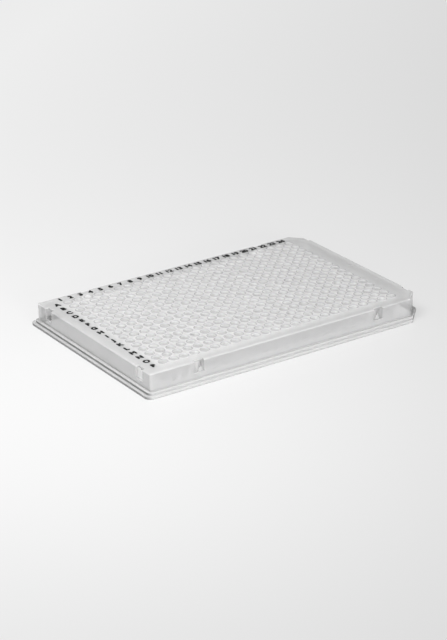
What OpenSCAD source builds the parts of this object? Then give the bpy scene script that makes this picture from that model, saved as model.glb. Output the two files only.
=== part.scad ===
// 384-well thin-wall PCR plate with a full skirt, moulded in one piece of natural polypropylene.
// Millimetres, +Z up. The origin is the middle of the footprint, on the surface the plate
// stands on. Column 1 is at -X and row A at +Y. The two corners at column 24 are cut off.

/* [Footprint] */
// Length over the foot lip
plate_l = 127.76; // [122:0.01:136]
// Width over the foot lip
plate_w = 85.48; // [82:0.01:96]
// Height from the standing surface to the top of the well rims
plate_h = 9.1; // [8.2:0.1:16]

/* [Wells] */
// Columns, numbered 1 upwards from the left
columns = 24; // [4:1:24]
// Rows, lettered A downwards from the back
rows = 16; // [4:1:16]
// Distance between neighbouring wells
pitch = 4.5; // [4.2:0.05:4.7]
// Bore of a well below its mouth
bore_d = 3.1; // [2.4:0.1:3.4]
// Wall of a well tube
tube_wall = 0.4; // [0.25:0.05:0.5]
// Height of the raised rim round each well
rim_h = 0.2; // [0.1:0.05:0.5]
// Bevel on the inner and outer edge of a rim
rim_bevel = 0.12; // [0.05:0.01:0.12]
// Length of the straight upper stretch of a well, from the rim
barrel = 3.6; // [2:0.1:5]
// Bore of a well where its cone meets the tip
tip_bore = 1.4; // [1:0.1:2]
// Clearance between the well tips and the standing surface
tip_gap = 0.3; // [0.1:0.1:1]

/* [Deck and skirt] */
// Thickness of the deck
deck_t = 1; // [0.6:0.1:1.4]
// Thickness of the skirt and of the foot's ledge
wall_t = 0.9; // [0.6:0.1:1.1]
// How far the skirt stands back from the foot lip
setback = 2.3; // [1.6:0.1:3]
// Rounding where the deck turns down into the skirt
edge_r = 0.6; // [0.2:0.1:0.8]
// Radius of the two upright corners beside column 1
corner_r = 0.8; // [0.4:0.1:2]
// Leg of the 45 degree cut at the two corners beside column 24
corner_cut = 5.6; // [3:0.1:7]

/* [Foot] */
// Height of the ledge above the standing surface
ledge_z = 2; // [1.6:0.1:3]
// Width of the ledge outside the skirt
ledge_w = 1.1; // [0.6:0.1:1.4]
// Height of the lip at the bottom of the foot
lip_h = 1; // [0.5:0.1:1.2]
// Radius of the two lip corners beside column 1
lip_r = 2.5; // [1:0.1:4]
// Rounding on the upper edges of the ledge and the lip
foot_r = 0.25; // [0.1:0.05:0.3]

/* [Edge windows] */
// Width of a window
window_w = 4.2; // [3:0.1:6]
// Depth of a window below the deck
window_h = 4.7; // [3:0.1:5.5]
// How far a window bites into the deck, inside the skirt
window_bite = 0.4; // [0.1:0.1:1]
// Distance from the middle line to a window on a long side
window_x = 40.5; // [30:0.5:50]
// Distance from the middle line to a window on a short side, before its side's shift
window_y = 32.5; // [25:0.1:34]
// Shift of the windows beside column 1 along +Y
shift_1 = -0.6; // [-1.5:0.1:1.5]
// Shift of the windows beside column 24 along +Y
shift_24 = 1.6; // [-1.5:0.1:2]

/* [Ejector marks] */
// Number of round marks on the margin beside column 24
marks = 3; // [1:2:5]
// Diameter of a mark
mark_d = 2.4; // [1.5:0.1:3]
// Depth of a mark
mark_depth = 0.08; // [0.04:0.01:0.2]

/* [Hidden] */
$fn = 48;
deck_z = plate_h - rim_h;
wall_l = plate_l - 2 * setback;
wall_w = plate_w - 2 * setback;
bore_r = bore_d / 2;
tube_r = bore_r + tube_wall;
field_l = (columns - 1) * pitch + 2 * tube_r;
mark_x = (field_l + wall_l) / 4;
mark_step = 4 * pitch;
edge_fullness = 1.02;

// Leg of the corner cut on an outline that stands d outside the skirt, where the cut itself
// stands cut_d outside the skirt's cut.
function cut_leg(d, cut_d) = corner_cut + 2 * d - sqrt(2) * cut_d;

// Outline d outside the skirt: round corners beside column 1 and, where cut has a length,
// corners with that leg cut off beside column 24.
module outline(d, r, cut = 0) {
  l = wall_l + 2 * d;
  w = wall_w + 2 * d;
  difference() {
    union() {
      translate([r - l / 2, -w / 2]) square([l - r, w]);
      translate([-l / 2, r - w / 2]) square([l / 2, w - 2 * r]);
      for (s = [-1, 1]) translate([r - l / 2, s * (w / 2 - r)]) circle(r);
    }
    if (cut > 0)
      for (s = [-1, 1])
        polygon([
          [l / 2 - 2 * cut, s * (w / 2 + cut)],
          [l / 2 + cut, s * (w / 2 + cut)],
          [l / 2 + cut, s * (w / 2 - 2 * cut)]
        ]);
  }
}

// Everything below z and inside a straight edge at distance x along +X, with a round top edge.
// The round meets both faces at a slight angle.
module inside_edge(x, z, r) {
  far = plate_l + plate_w;
  rotate([90, 0, 0])
    translate([0, 0, -far])
      linear_extrude(2 * far)
        intersection() {
          translate([-far, -1]) square([far + x, z + 1]);
          union() {
            translate([-far, -1]) square([far + x - r, z + 2]);
            translate([-far, -1]) square([far + x + 1, z + 1 - r]);
            translate([x - r, z - r]) circle(edge_fullness * r);
          }
        }
}

// Slab from the standing surface up to z, on the outline d outside the skirt, with a round
// edge of radius r all round its top.
module slab(z, d, corner, cut_d, r) {
  across_cut = ((wall_l + wall_w) / 2 + 2 * d - cut_leg(d, cut_d)) / sqrt(2);
  edges = [
    [0, wall_l / 2 + d], [180, wall_l / 2 + d], [90, wall_w / 2 + d], [270, wall_w / 2 + d],
    [45, across_cut], [-45, across_cut]
  ];
  intersection() {
    linear_extrude(z) outline(d, corner);
    intersection_for (e = edges) rotate(e[0]) inside_edge(e[1], z, r);
  }
}

// Hollow under the plate: wide inside the foot, narrower inside the skirt.
module hollow() {
  translate([0, 0, -1])
    linear_extrude(deck_z - deck_t + 1) outline(-wall_t, corner_r, cut_leg(-wall_t, -wall_t));
  inner = ledge_w - wall_t;
  translate([0, 0, -1])
    linear_extrude(ledge_z - wall_t + 1) outline(inner, corner_r, cut_leg(inner, inner));
}

// The skirt with its deck, the ledge round its foot and the lip round the ledge.
module shell() {
  difference() {
    union() {
      slab(deck_z, 0, corner_r, 0, edge_r);
      slab(ledge_z, ledge_w, corner_r + ledge_w, ledge_w, foot_r);
      slab(lip_h, setback, lip_r, ledge_w, foot_r);
    }
    hollow();
  }
}

// Upright through cuts in the skirt that also bite into the deck: two on each side.
module windows() {
  in = wall_t + window_bite;
  for (sx = [-1, 1], sy = [-1, 1]) {
    translate([sx * window_x - window_w / 2, sy * wall_w / 2 - in, deck_z - window_h])
      cube([window_w, 2 * in, window_h + 1]);
    y = sy * window_y + (sx < 0 ? shift_1 : shift_24);
    translate([sx * wall_l / 2 - in, y - window_w / 2, deck_z - window_h])
      cube([2 * in, window_w, window_h + 1]);
  }
}

// Shallow round marks that the ejector pins leave.
module ejector_marks() {
  for (i = [0:marks - 1])
    translate([mark_x, (i - (marks - 1) / 2) * mark_step, deck_z - mark_depth])
      cylinder(d = mark_d, h = 1);
}

// Round solid of a well, inside or out: bevel, straight barrel, cone and blunt tip at height z.
module well(top, r, bevel, tip_r, z) {
  flat_r = tip_r / 2;
  rotate_extrude()
    polygon([
      [0, top], [r + bevel, top], [r, top - abs(bevel)], [r, plate_h - barrel],
      [tip_r, z + flat_r], [flat_r, z], [0, z]
    ]);
}

module each_well() {
  for (c = [0:columns - 1], r = [0:rows - 1])
    translate([(c - (columns - 1) / 2) * pitch, ((rows - 1) / 2 - r) * pitch, 0]) children();
}

module plate() {
  color("gainsboro")
    difference() {
      union() {
        shell();
        each_well() well(plate_h, tube_r, -rim_bevel, tip_bore / 2 + tube_wall, tip_gap);
      }
      each_well() well(plate_h, bore_r, rim_bevel, tip_bore / 2, tip_gap + tube_wall);
      windows();
      ejector_marks();
    }
}

plate();
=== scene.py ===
"""Looks of a 384-well PCR plate, moulded in one piece of natural polypropylene and pad-printed."""

import math

import bpy
from mathutils import Matrix, Vector


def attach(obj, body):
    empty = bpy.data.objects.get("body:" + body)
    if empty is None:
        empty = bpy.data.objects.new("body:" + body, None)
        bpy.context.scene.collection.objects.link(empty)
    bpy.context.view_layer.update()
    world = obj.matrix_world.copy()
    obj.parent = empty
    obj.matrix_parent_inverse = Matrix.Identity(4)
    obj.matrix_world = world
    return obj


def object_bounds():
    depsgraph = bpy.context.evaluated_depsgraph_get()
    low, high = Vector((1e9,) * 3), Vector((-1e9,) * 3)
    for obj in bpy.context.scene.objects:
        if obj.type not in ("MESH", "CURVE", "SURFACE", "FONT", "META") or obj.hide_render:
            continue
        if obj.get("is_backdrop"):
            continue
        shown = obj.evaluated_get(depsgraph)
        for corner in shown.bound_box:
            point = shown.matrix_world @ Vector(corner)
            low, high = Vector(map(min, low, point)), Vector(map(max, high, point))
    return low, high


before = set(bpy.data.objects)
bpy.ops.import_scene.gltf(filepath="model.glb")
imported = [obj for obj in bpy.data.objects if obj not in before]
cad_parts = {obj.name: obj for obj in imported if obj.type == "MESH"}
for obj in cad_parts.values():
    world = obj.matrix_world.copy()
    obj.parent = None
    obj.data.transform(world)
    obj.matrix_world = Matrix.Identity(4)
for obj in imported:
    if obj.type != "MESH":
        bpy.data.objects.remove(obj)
cad_low, cad_high = (Vector(corner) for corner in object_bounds())

MM = 0.001

# The well grid, as in the plate's source.
COLUMNS = 24
ROWS = 16
PITCH = 4.5 * MM
RIM_HEIGHT = 0.2 * MM

plate_middle = (cad_low + cad_high) / 2
rim_z = cad_high.z
deck_z = rim_z - RIM_HEIGHT


# ---------------------------------------------------------------- nodes


def linear(hex_colour):
    """An sRGB hex colour such as "F0F1F0" as linear RGBA."""
    encoded = [int(hex_colour[i : i + 2], 16) / 255 for i in (0, 2, 4)]
    decoded = [c / 12.92 if c <= 0.04045 else ((c + 0.055) / 1.055) ** 2.4 for c in encoded]
    return (*decoded, 1)


def per_metre(size_mm):
    """The texture scale that makes a pattern's features about size_mm across."""
    return 1 / (size_mm * MM)


def add(tree, kind, inputs=None, **settings):
    """Adds a node. inputs maps a socket's name or number to a value or to the output it takes."""
    made = tree.nodes.new(kind)
    for name, value in settings.items():
        setattr(made, name, value)
    for name, value in (inputs or {}).items():
        if isinstance(value, bpy.types.NodeSocket):
            tree.links.new(value, made.inputs[name])
        else:
            made.inputs[name].default_value = value
    return made


def ranged(tree, value, low=0.0, high=1.0, to=(0.0, 1.0)):
    """How far a value has come from low to high: a share, or the number between the ends of to."""
    ends = {"From Min": low, "From Max": high, "To Min": to[0], "To Max": to[1]}
    return add(tree, "ShaderNodeMapRange", {"Value": value, **ends}).outputs[0]


def combined(tree, first, second, operation):
    """Two numbers combined by a Math operation."""
    return add(tree, "ShaderNodeMath", {0: first, 1: second}, operation=operation).outputs[0]


def along(tree, vector, direction):
    """How far a vector reaches along a direction."""
    sockets = {0: vector, 1: direction}
    return add(tree, "ShaderNodeVectorMath", sockets, operation="DOT_PRODUCT").outputs["Value"]


def unsigned(tree, vector):
    """The X, Y and Z of a vector without their signs."""
    positive = add(tree, "ShaderNodeVectorMath", {0: vector}, operation="ABSOLUTE")
    return add(tree, "ShaderNodeSeparateXYZ", {0: positive.outputs[0]}).outputs


def noise(tree, place, size_mm, detail):
    """Soft noise with features about size_mm across."""
    sockets = {"Vector": place, "Scale": per_metre(size_mm), "Detail": detail}
    return add(tree, "ShaderNodeTexNoise", sockets).outputs[0]


def blended(tree, share, first, second):
    """A colour that goes from the first to the second with the share."""
    sockets = {"Factor": share, 6: first, 7: second}
    return add(tree, "ShaderNodeMix", sockets, data_type="RGBA").outputs[2]


def bumped(tree, pattern, strength, depth, **under):
    """The normal of a surface that a pattern roughens, over another Normal if one is given."""
    sockets = {"Height": pattern, "Strength": strength, "Distance": depth, **under}
    return add(tree, "ShaderNodeBump", sockets).outputs[0]


def new_material(name):
    """An empty node material with its tree."""
    material = bpy.data.materials.new(name)
    material.use_nodes = True
    material.node_tree.nodes.clear()
    return material, material.node_tree


# ---------------------------------------------------------------- materials

# Share of the light that a skin of the moulding scatters rather than lets straight through,
# at heights above the floor. Round the wells: the foot, the walls and the margins. Among the
# wells: the tubes, their upper ends, the deck between them and their rims.
WALLS_MILKINESS = [(1.9 * MM, 0.7), (2.3 * MM, 0.42), (8.3 * MM, 0.45), (8.7 * MM, 0.72)]
WELLS_MILKINESS = [
    (7.0 * MM, 0.32),
    (7.6 * MM, 0.47),
    (8.8 * MM, 0.47),
    (8.88 * MM, 0.45),
    (8.92 * MM, 0.54),
    (9.09 * MM, 0.58),
]
# Distances from the plate's middle between which the wells' look, with its painted light, gives
# way to the walls', with their painted shade.
WELLS_END_X = (52.8 * MM, 55.8 * MM)
WELLS_END_Y = (34.8 * MM, 37.8 * MM)
# Heights between which the wells' look gives way upwards to the rims' painted grey shade, and the
# walls' look downwards to the foot's painted dark shade.
RIM_SHADE_Z = (8.8 * MM, 9.1 * MM)
FOOT_SHADE_Z = (2.0 * MM, 1.8 * MM)
# How far a face has to turn to the short ends for the foot's painted shade to begin, and to be
# whole.
FOOT_SHADE_FACING = (0.25, 0.95)
# Sizes of the moulding's patterns, in millimetres. Spark erosion leaves a grain of about 0.03,
# and it is drawn coarser to show at all.
CLOUD_SIZE = 14
RIPPLE_SIZE = 3.0
GRAIN_SIZE = 0.12
SATIN_ROUGHNESS = (0.42, 0.54)
# Size of the speckle in the ink, in millimetres.
SPECKLE_SIZE = 0.25
INK_ROUGHNESS = (0.45, 0.65)


def milkiness(tree, share_of_height, amounts):
    """The scattered share as it changes up the plate, for amounts given as (height, share)."""
    ramp = add(tree, "ShaderNodeValToRGB", {0: share_of_height})
    stops = ramp.color_ramp.elements
    while len(stops) < len(amounts):
        stops.new(0.5)
    for stop, (z, amount) in zip(stops, amounts):
        stop.position = z / (cad_high.z - cad_low.z)
        stop.color = (amount, amount, amount, 1)
    return ramp.outputs[0]


def natural_polypropylene():
    """Natural polypropylene, injection moulded: milky and translucent, with a satin skin.

    The eye gets soft blurred light through the thin walls, a broad dull sheen, a faint
    cloudiness where the melt flowed and a fine eroded grain from the mould.
    """
    material, tree = new_material("natural_polypropylene")
    on_the_plate = add(tree, "ShaderNodeTexCoord").outputs
    place = on_the_plate["Object"]
    height = add(tree, "ShaderNodeSeparateXYZ", {0: place}).outputs["Z"]
    from_middle = unsigned(tree, place)
    turned = unsigned(tree, on_the_plate["Normal"])

    # Painted light and shade: the crowd of thin tubes is coloured whiter, for the light scattered
    # among them, and the plain walls and margins round it darker, for the shade in the hollow
    # beneath them.
    around = combined(
        tree,
        ranged(tree, from_middle["X"], *WELLS_END_X),
        ranged(tree, from_middle["Y"], *WELLS_END_Y),
        "MAXIMUM",
    )
    # Painted shade: the rims and the deck between them are coloured grey, which draws a soft grey
    # ring round each light well.
    up_to_rim_shade = ranged(tree, height, *RIM_SHADE_Z)
    lit_tubes_shaded_rims_colour = blended(tree, up_to_rim_shade, linear("F7F7F7"), linear("A8A8A8"))
    # A faint cloudiness where the melt flowed, on a grey that is painted shade, darker than the
    # tubes.
    cloud = noise(tree, place, CLOUD_SIZE, detail=3.0)
    shaded_walls_cloud_colour = blended(tree, cloud, linear("C8C8C8"), linear("C0C0C0"))
    # Painted shade: the upright faces of the thick foot at the plate's short ends are painted dark
    # grey, which draws them as crisp dark lines.
    painted_foot_shade = combined(
        tree,
        ranged(tree, turned["X"], *FOOT_SHADE_FACING),
        ranged(tree, height, *FOOT_SHADE_Z),
        "MULTIPLY",
    )
    shaded_walls_and_foot_colour = blended(tree, painted_foot_shade, shaded_walls_cloud_colour, linear("808080"))
    colour = blended(tree, around, lit_tubes_shaded_rims_colour, shaded_walls_and_foot_colour)

    # Sink and flow ripples of the moulded faces, which also make the sheen uneven, and the
    # mould's grain on top of them.
    ripple = noise(tree, place, RIPPLE_SIZE, detail=1.0)
    grain = noise(tree, place, GRAIN_SIZE, detail=2.0)
    wavy = bumped(tree, ripple, strength=0.15, depth=0.08 * MM)
    grained = bumped(tree, grain, strength=0.15, depth=0.01 * MM, Normal=wavy)

    # The thin walls let more light straight through than the foot and the deck.
    up_the_plate = ranged(tree, height, cad_low.z, cad_high.z)
    opacity = add(
        tree,
        "ShaderNodeMix",
        {
            "Factor": around,
            "A": milkiness(tree, up_the_plate, WELLS_MILKINESS),
            "B": milkiness(tree, up_the_plate, WALLS_MILKINESS),
        },
    )
    shader = add(
        tree,
        "ShaderNodeBsdfPrincipled",
        {
            "Base Color": colour,
            "Roughness": ranged(tree, ripple, to=SATIN_ROUGHNESS),
            "IOR": 1.49,
            "Subsurface Weight": 1.0,
            "Subsurface Radius": (1.0, 1.0, 1.0),
            "Subsurface Scale": 0.7 * MM,
            "Alpha": opacity.outputs[0],
            "Normal": grained,
        },
    )
    add(tree, "ShaderNodeOutputMaterial", {"Surface": shader.outputs[0]})
    return material


def pad_print_ink():
    """Black pad-print ink: a thin matt film with a slightly uneven, open surface."""
    material, tree = new_material("pad_print_ink")
    place = add(tree, "ShaderNodeTexCoord").outputs["Object"]
    speckle = noise(tree, place, SPECKLE_SIZE, detail=3.0)
    shader = add(
        tree,
        "ShaderNodeBsdfPrincipled",
        {
            "Base Color": blended(tree, speckle, linear("030304"), linear("0C0C0D")),
            "Roughness": ranged(tree, speckle, to=INK_ROUGHNESS),
            "IOR": 1.5,
            "Specular IOR Level": 0.15,
            "Normal": bumped(tree, speckle, strength=0.3, depth=0.01 * MM),
        },
    )
    add(tree, "ShaderNodeOutputMaterial", {"Surface": shader.outputs[0]})
    return material


# The paper glows most at the back and the left: the way the glow grows, the distances from
# the middle between which it does, and its strength there.
GLOW_GROWS = (-0.62, 0.78, 0.0)
GLOW_FROM, GLOW_TO = -0.20, 0.22
GLOW_STRENGTH = (0.84, 1.34)
# Share of what the camera sees of the paper that is its own glow. The rest takes the shadow.
GLOW_SEEN = 0.6


def studio_paper():
    """Seamless white studio paper that glows faintly, most at the back and the left.

    The eye gets a pale ground with a soft shadow. Gloss and see-through plastic show the glow
    alone.
    """
    material, tree = new_material("studio_paper")
    paper = add(
        tree, "ShaderNodeBsdfPrincipled", {"Base Color": linear("CECECE"), "Roughness": 0.2}
    )
    place = add(tree, "ShaderNodeTexCoord").outputs["Object"]
    strength = ranged(tree, along(tree, place, GLOW_GROWS), GLOW_FROM, GLOW_TO, to=GLOW_STRENGTH)
    glow = add(tree, "ShaderNodeEmission", {"Color": linear("F1F1F1"), "Strength": strength})
    ray = add(tree, "ShaderNodeLightPath").outputs
    share = combined(tree, ray["Is Camera Ray"], GLOW_SEEN, "MULTIPLY")
    share = combined(tree, ray["Is Glossy Ray"], share, "MAXIMUM")
    share = combined(tree, ray["Is Transmission Ray"], share, "MAXIMUM")
    both = add(tree, "ShaderNodeMixShader", {0: share, 1: paper.outputs[0], 2: glow.outputs[0]})
    add(tree, "ShaderNodeOutputMaterial", {"Surface": both.outputs[0]})
    return material


polypropylene = natural_polypropylene()
ink = pad_print_ink()

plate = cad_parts["plate"]
for material_slot in plate.material_slots:
    material_slot.material = polypropylene

# ---------------------------------------------------------------- printed labels

LETTER_HEIGHT = 2.3 * MM
# The printed capitals of the built-in sans face are this share of its nominal size.
CAP_SHARE = 0.729
# Straight stretches in each curve of a letter.
LETTER_STRETCHES = 6
INK_THICKNESS = 0.015 * MM
# The thin face is made bold by copies of each word on a ring of this radius. A copy on a slant
# lies about 0.7 of it along each side.
BOLD_STEP = 0.26 * MM
SLANT = 0.7
BOLD_COPIES = [
    (-1, 0),
    (1, 0),
    (0, -1),
    (0, 1),
    (-SLANT, -SLANT),
    (SLANT, -SLANT),
    (-SLANT, SLANT),
    (SLANT, SLANT),
    (0, 0),
]
# Each copy lies a hair higher than the last, so no two faces share a plane.
COPY_LIFT = 0.001 * MM
# The figures stand behind row A, and the letters to the left of column 1. Both rows of print
# are shifted a little against the wells, and the letters are spaced a little wider.
FIGURES_BEHIND_A = 3.97 * MM
FIGURES_SHIFT = -1.2 * MM
LETTERS_LEFT_OF_1 = 4.71 * MM
LETTERS_SHIFT = -0.46 * MM
LETTER_PITCH = 4.57 * MM


def column_x(column):
    """Middle of a column, 0 for column 1."""
    return plate_middle.x + (column - (COLUMNS - 1) / 2) * PITCH


def row_y(row, pitch=PITCH):
    """Middle of a row, 0 for row A."""
    return plate_middle.y + ((ROWS - 1) / 2 - row) * pitch


def thin_word(name, text, place):
    """One flat word as thick as the ink, with its middle at a place."""
    curve = bpy.data.curves.new(name, "FONT")
    curve.body = text
    curve.size = LETTER_HEIGHT / CAP_SHARE
    curve.extrude = INK_THICKNESS / 2
    curve.align_x = "CENTER"
    curve.align_y = "CENTER"
    curve.resolution_u = LETTER_STRETCHES
    word = bpy.data.objects.new(name, curve)
    word.location = place
    bpy.context.collection.objects.link(word)
    return word


def printed_words(name, words):
    """One mesh of bold ink words, each given as (text, x, y) of its middle on the deck.

    The eye gets the crisp black print along two edges of the pale plate.
    """
    ink_z = deck_z + INK_THICKNESS / 2
    copies = [
        thin_word(name, text, (x + dx * BOLD_STEP, y + dy * BOLD_STEP, ink_z + copy * COPY_LIFT))
        for text, x, y in words
        for copy, (dx, dy) in enumerate(BOLD_COPIES)
    ]
    bpy.ops.object.select_all(action="DESELECT")
    for word in copies:
        word.select_set(True)
    bpy.context.view_layer.objects.active = copies[0]
    bpy.ops.object.convert(target="MESH")
    bpy.ops.object.join()
    bpy.ops.object.transform_apply(location=True, rotation=True, scale=True)
    joined = bpy.context.view_layer.objects.active
    joined.name = name
    joined.data.materials.clear()
    joined.data.materials.append(ink)
    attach(joined, "root")


figures_y = row_y(0) + FIGURES_BEHIND_A
printed_words(
    "column_figures",
    [(str(column + 1), column_x(column) + FIGURES_SHIFT, figures_y) for column in range(COLUMNS)],
)
letters_x = column_x(0) - LETTERS_LEFT_OF_1
printed_words(
    "row_letters",
    [
        (chr(ord("A") + row), letters_x, row_y(row, LETTER_PITCH) + LETTERS_SHIFT)
        for row in range(ROWS)
    ],
)

# ---------------------------------------------------------------- floor and lights

FLOOR_SIZE = 6.0
# The floor lies just below the foot, so no two faces share a plane.
FLOOR_DROP = 0.02 * MM
bpy.ops.mesh.primitive_plane_add(size=FLOOR_SIZE, location=(0, 0, cad_low.z - FLOOR_DROP))
floor = bpy.context.object
floor.name = "floor"
floor.data.materials.append(studio_paper())
floor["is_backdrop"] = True

# The room is lightest to the left, in front of the plate and overhead.
ROOM_LIGHTEST = (-0.5, -0.78, 0.37)
ROOM_STRENGTH = (0.2, 0.78)

room = bpy.data.worlds.new("studio")
room.use_nodes = True
bpy.context.scene.world = room
surroundings = room.node_tree
surroundings.nodes.clear()
direction = add(surroundings, "ShaderNodeTexCoord").outputs["Generated"]
towards_light = along(surroundings, direction, ROOM_LIGHTEST)
room_strength = ranged(surroundings, towards_light, low=-1.0, high=1.0, to=ROOM_STRENGTH)
room_light = add(
    surroundings, "ShaderNodeBackground", {"Color": linear("F5F5F5"), "Strength": room_strength}
)
add(surroundings, "ShaderNodeOutputWorld", {"Surface": room_light.outputs[0]})


def soft_box(name, place, width, height, watts):
    """A rectangular soft box at a place, turned to the plate."""
    data = bpy.data.lights.new(name, "AREA")
    data.shape = "RECTANGLE"
    data.size = width
    data.size_y = height
    data.energy = watts
    lamp = bpy.data.objects.new(name, data)
    lamp.location = place
    # The box itself never stands in a view.
    lamp.visible_camera = False
    lamp.rotation_euler = (plate_middle - Vector(place)).to_track_quat("-Z", "Y").to_euler()
    bpy.context.collection.objects.link(lamp)


# Close above the left end: the well field is lightest there and falls off to the right.
soft_box("key_light", place=(-0.11, -0.05, 0.22), width=0.12, height=0.12, watts=0.54)
# Far in front: fills the front wall and the steps of the foot.
soft_box("front_light", place=(-0.32, -1.50, 0.28), width=0.6, height=0.4, watts=18.0)

# ---------------------------------------------------------------- camera

# The camera looks at the middle of the rims from the left and front, with a slight roll, and
# stands a little to the left and below the straight line to it.
AZIMUTH = math.radians(-33.50)
ELEVATION = math.radians(23.39)
ROLL = math.radians(-0.985)
DISTANCE = 862.27 * MM
CAMERA_LEFT = 2.38 * MM
CAMERA_DOWN = 8.14 * MM
FOCAL_LENGTH_MM = 126.74

back = Vector(
    (
        math.sin(AZIMUTH) * math.cos(ELEVATION),
        -math.cos(AZIMUTH) * math.cos(ELEVATION),
        math.sin(ELEVATION),
    )
)
level_right = Vector((math.cos(AZIMUTH), math.sin(AZIMUTH), 0))
level_up = back.cross(level_right)
right = math.cos(ROLL) * level_right + math.sin(ROLL) * level_up
up = math.cos(ROLL) * level_up - math.sin(ROLL) * level_right
rims_middle = Vector((plate_middle.x, plate_middle.y, rim_z))
eye = rims_middle + DISTANCE * back - CAMERA_LEFT * right - CAMERA_DOWN * up

lens = bpy.data.cameras.new("camera")
lens.lens = FOCAL_LENGTH_MM
camera = bpy.data.objects.new("camera", lens)
camera.matrix_world = Matrix.Translation(eye) @ Matrix((right, up, back)).transposed().to_4x4()
bpy.context.collection.objects.link(camera)
bpy.context.scene.camera = camera
bpy.context.scene.view_settings.view_transform = "Standard"
